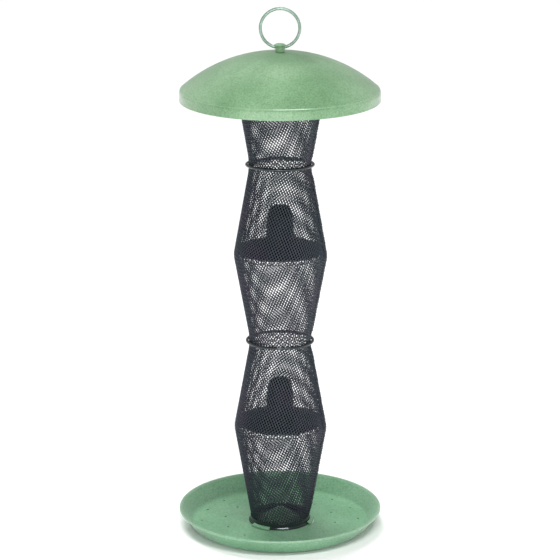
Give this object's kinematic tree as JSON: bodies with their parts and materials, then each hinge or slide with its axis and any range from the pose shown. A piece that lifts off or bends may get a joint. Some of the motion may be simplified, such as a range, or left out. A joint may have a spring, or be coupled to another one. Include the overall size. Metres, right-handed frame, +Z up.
{
  "type": "hanging mesh tube bird feeder",
  "caption": "Hanging bird feeder: a woven wire tube that folds down like a bellows, seed cones inside it, a lift-off domed roof with a ring, and a dish tray at its foot.",
  "frame": {"origin": "centre of the tray's underside, on the surface it stands on", "axes": "+Z up along the tube, -Y towards the front, +X to the right seen from the front"},
  "size_m": [0.185, 0.185, 0.4778],
  "materials": {
    "sage_coat": "satin powder coat, slightly mottled",
    "wire_cloth": "satin black coat on woven wire",
    "black_coat": "gloss black coat",
    "zinc_plate": "bright zinc plate"
  },
  "bodies": {
    "foot": {"tray": "sage_coat", "foot_hoop": "black_coat", "mesh_cone_1": "wire_cloth"},
    "lower_wide": {"lower_wide_ring": "black_coat", "lower_seed_cone": "black_coat", "mesh_cone_2": "wire_cloth"},
    "lower_waist": {"lower_waist_ring": "black_coat", "mesh_cone_3": "wire_cloth"},
    "upper_wide": {"upper_wide_ring": "black_coat", "upper_seed_cone": "black_coat", "mesh_cone_4": "wire_cloth"},
    "upper_waist": {"upper_waist_ring": "black_coat", "mesh_cone_5": "wire_cloth"},
    "top": {"top_hoop": "black_coat"},
    "roof": {"roof": "sage_coat", "roof_bridge": "zinc_plate", "latch_spring": "zinc_plate", "roof_washer": "zinc_plate", "roof_nut": "zinc_plate", "hanger_stud": "sage_coat"},
    "ring": {"hanging_ring": "sage_coat"}
  },
  "joints": [
    {"name": "fold_1", "type": "slide", "parent": "foot", "child": "lower_wide", "axis": [0, 0, -1], "range_m": [0, 0.062], "deforming": ["mesh_cone_1"]},
    {"name": "fold_2", "type": "slide", "parent": "lower_wide", "child": "lower_waist", "axis": [0, 0, -1], "range_m": [0, 0.0565], "deforming": ["mesh_cone_2"]},
    {"name": "fold_3", "type": "slide", "parent": "lower_waist", "child": "upper_wide", "axis": [0, 0, -1], "range_m": [0, 0.056], "deforming": ["mesh_cone_3"]},
    {"name": "fold_4", "type": "slide", "parent": "upper_wide", "child": "upper_waist", "axis": [0, 0, -1], "range_m": [0, 0.0575], "deforming": ["mesh_cone_4"]},
    {"name": "fold_5", "type": "slide", "parent": "upper_waist", "child": "top", "axis": [0, 0, -1], "range_m": [0, 0.0595], "deforming": ["mesh_cone_5"]},
    {"name": "roof_lift", "type": "slide", "parent": "top", "child": "roof", "axis": [0, 0, 1], "range_m": [0, 0.08], "deforming": ["latch_spring"]},
    {"name": "ring_swing", "type": "hinge", "parent": "roof", "child": "ring", "pos_m": [0, 0, 0.44198], "axis": [1, 0, 0], "range_deg": [-100, 100]}
  ]
}
